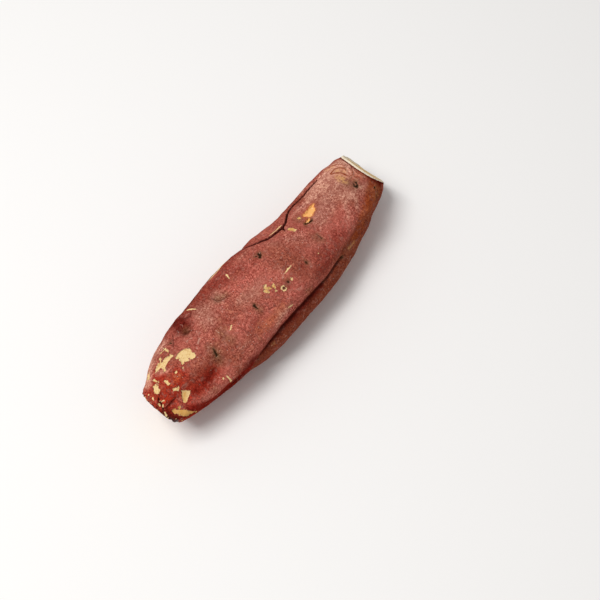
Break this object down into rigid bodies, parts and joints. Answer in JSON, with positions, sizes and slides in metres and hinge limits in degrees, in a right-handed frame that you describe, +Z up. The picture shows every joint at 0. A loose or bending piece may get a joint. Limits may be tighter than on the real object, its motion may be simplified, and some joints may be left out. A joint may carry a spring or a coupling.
{
  "type": "baked sweet potato",
  "caption": "Whole baked sweet potato with wrinkled red skin and both tips trimmed off, lying on its side.",
  "frame": {"origin": "on the resting plane, under the middle of the root's length and width", "axes": "+X along the root from its root end to its stem end, +Y across it, +Z up"},
  "size_m": [0.1918, 0.0532, 0.042],
  "materials": {
    "skin": "matte"
  },
  "bodies": {
    "root": {"sweet_potato": "skin"}
  },
  "joints": []
}
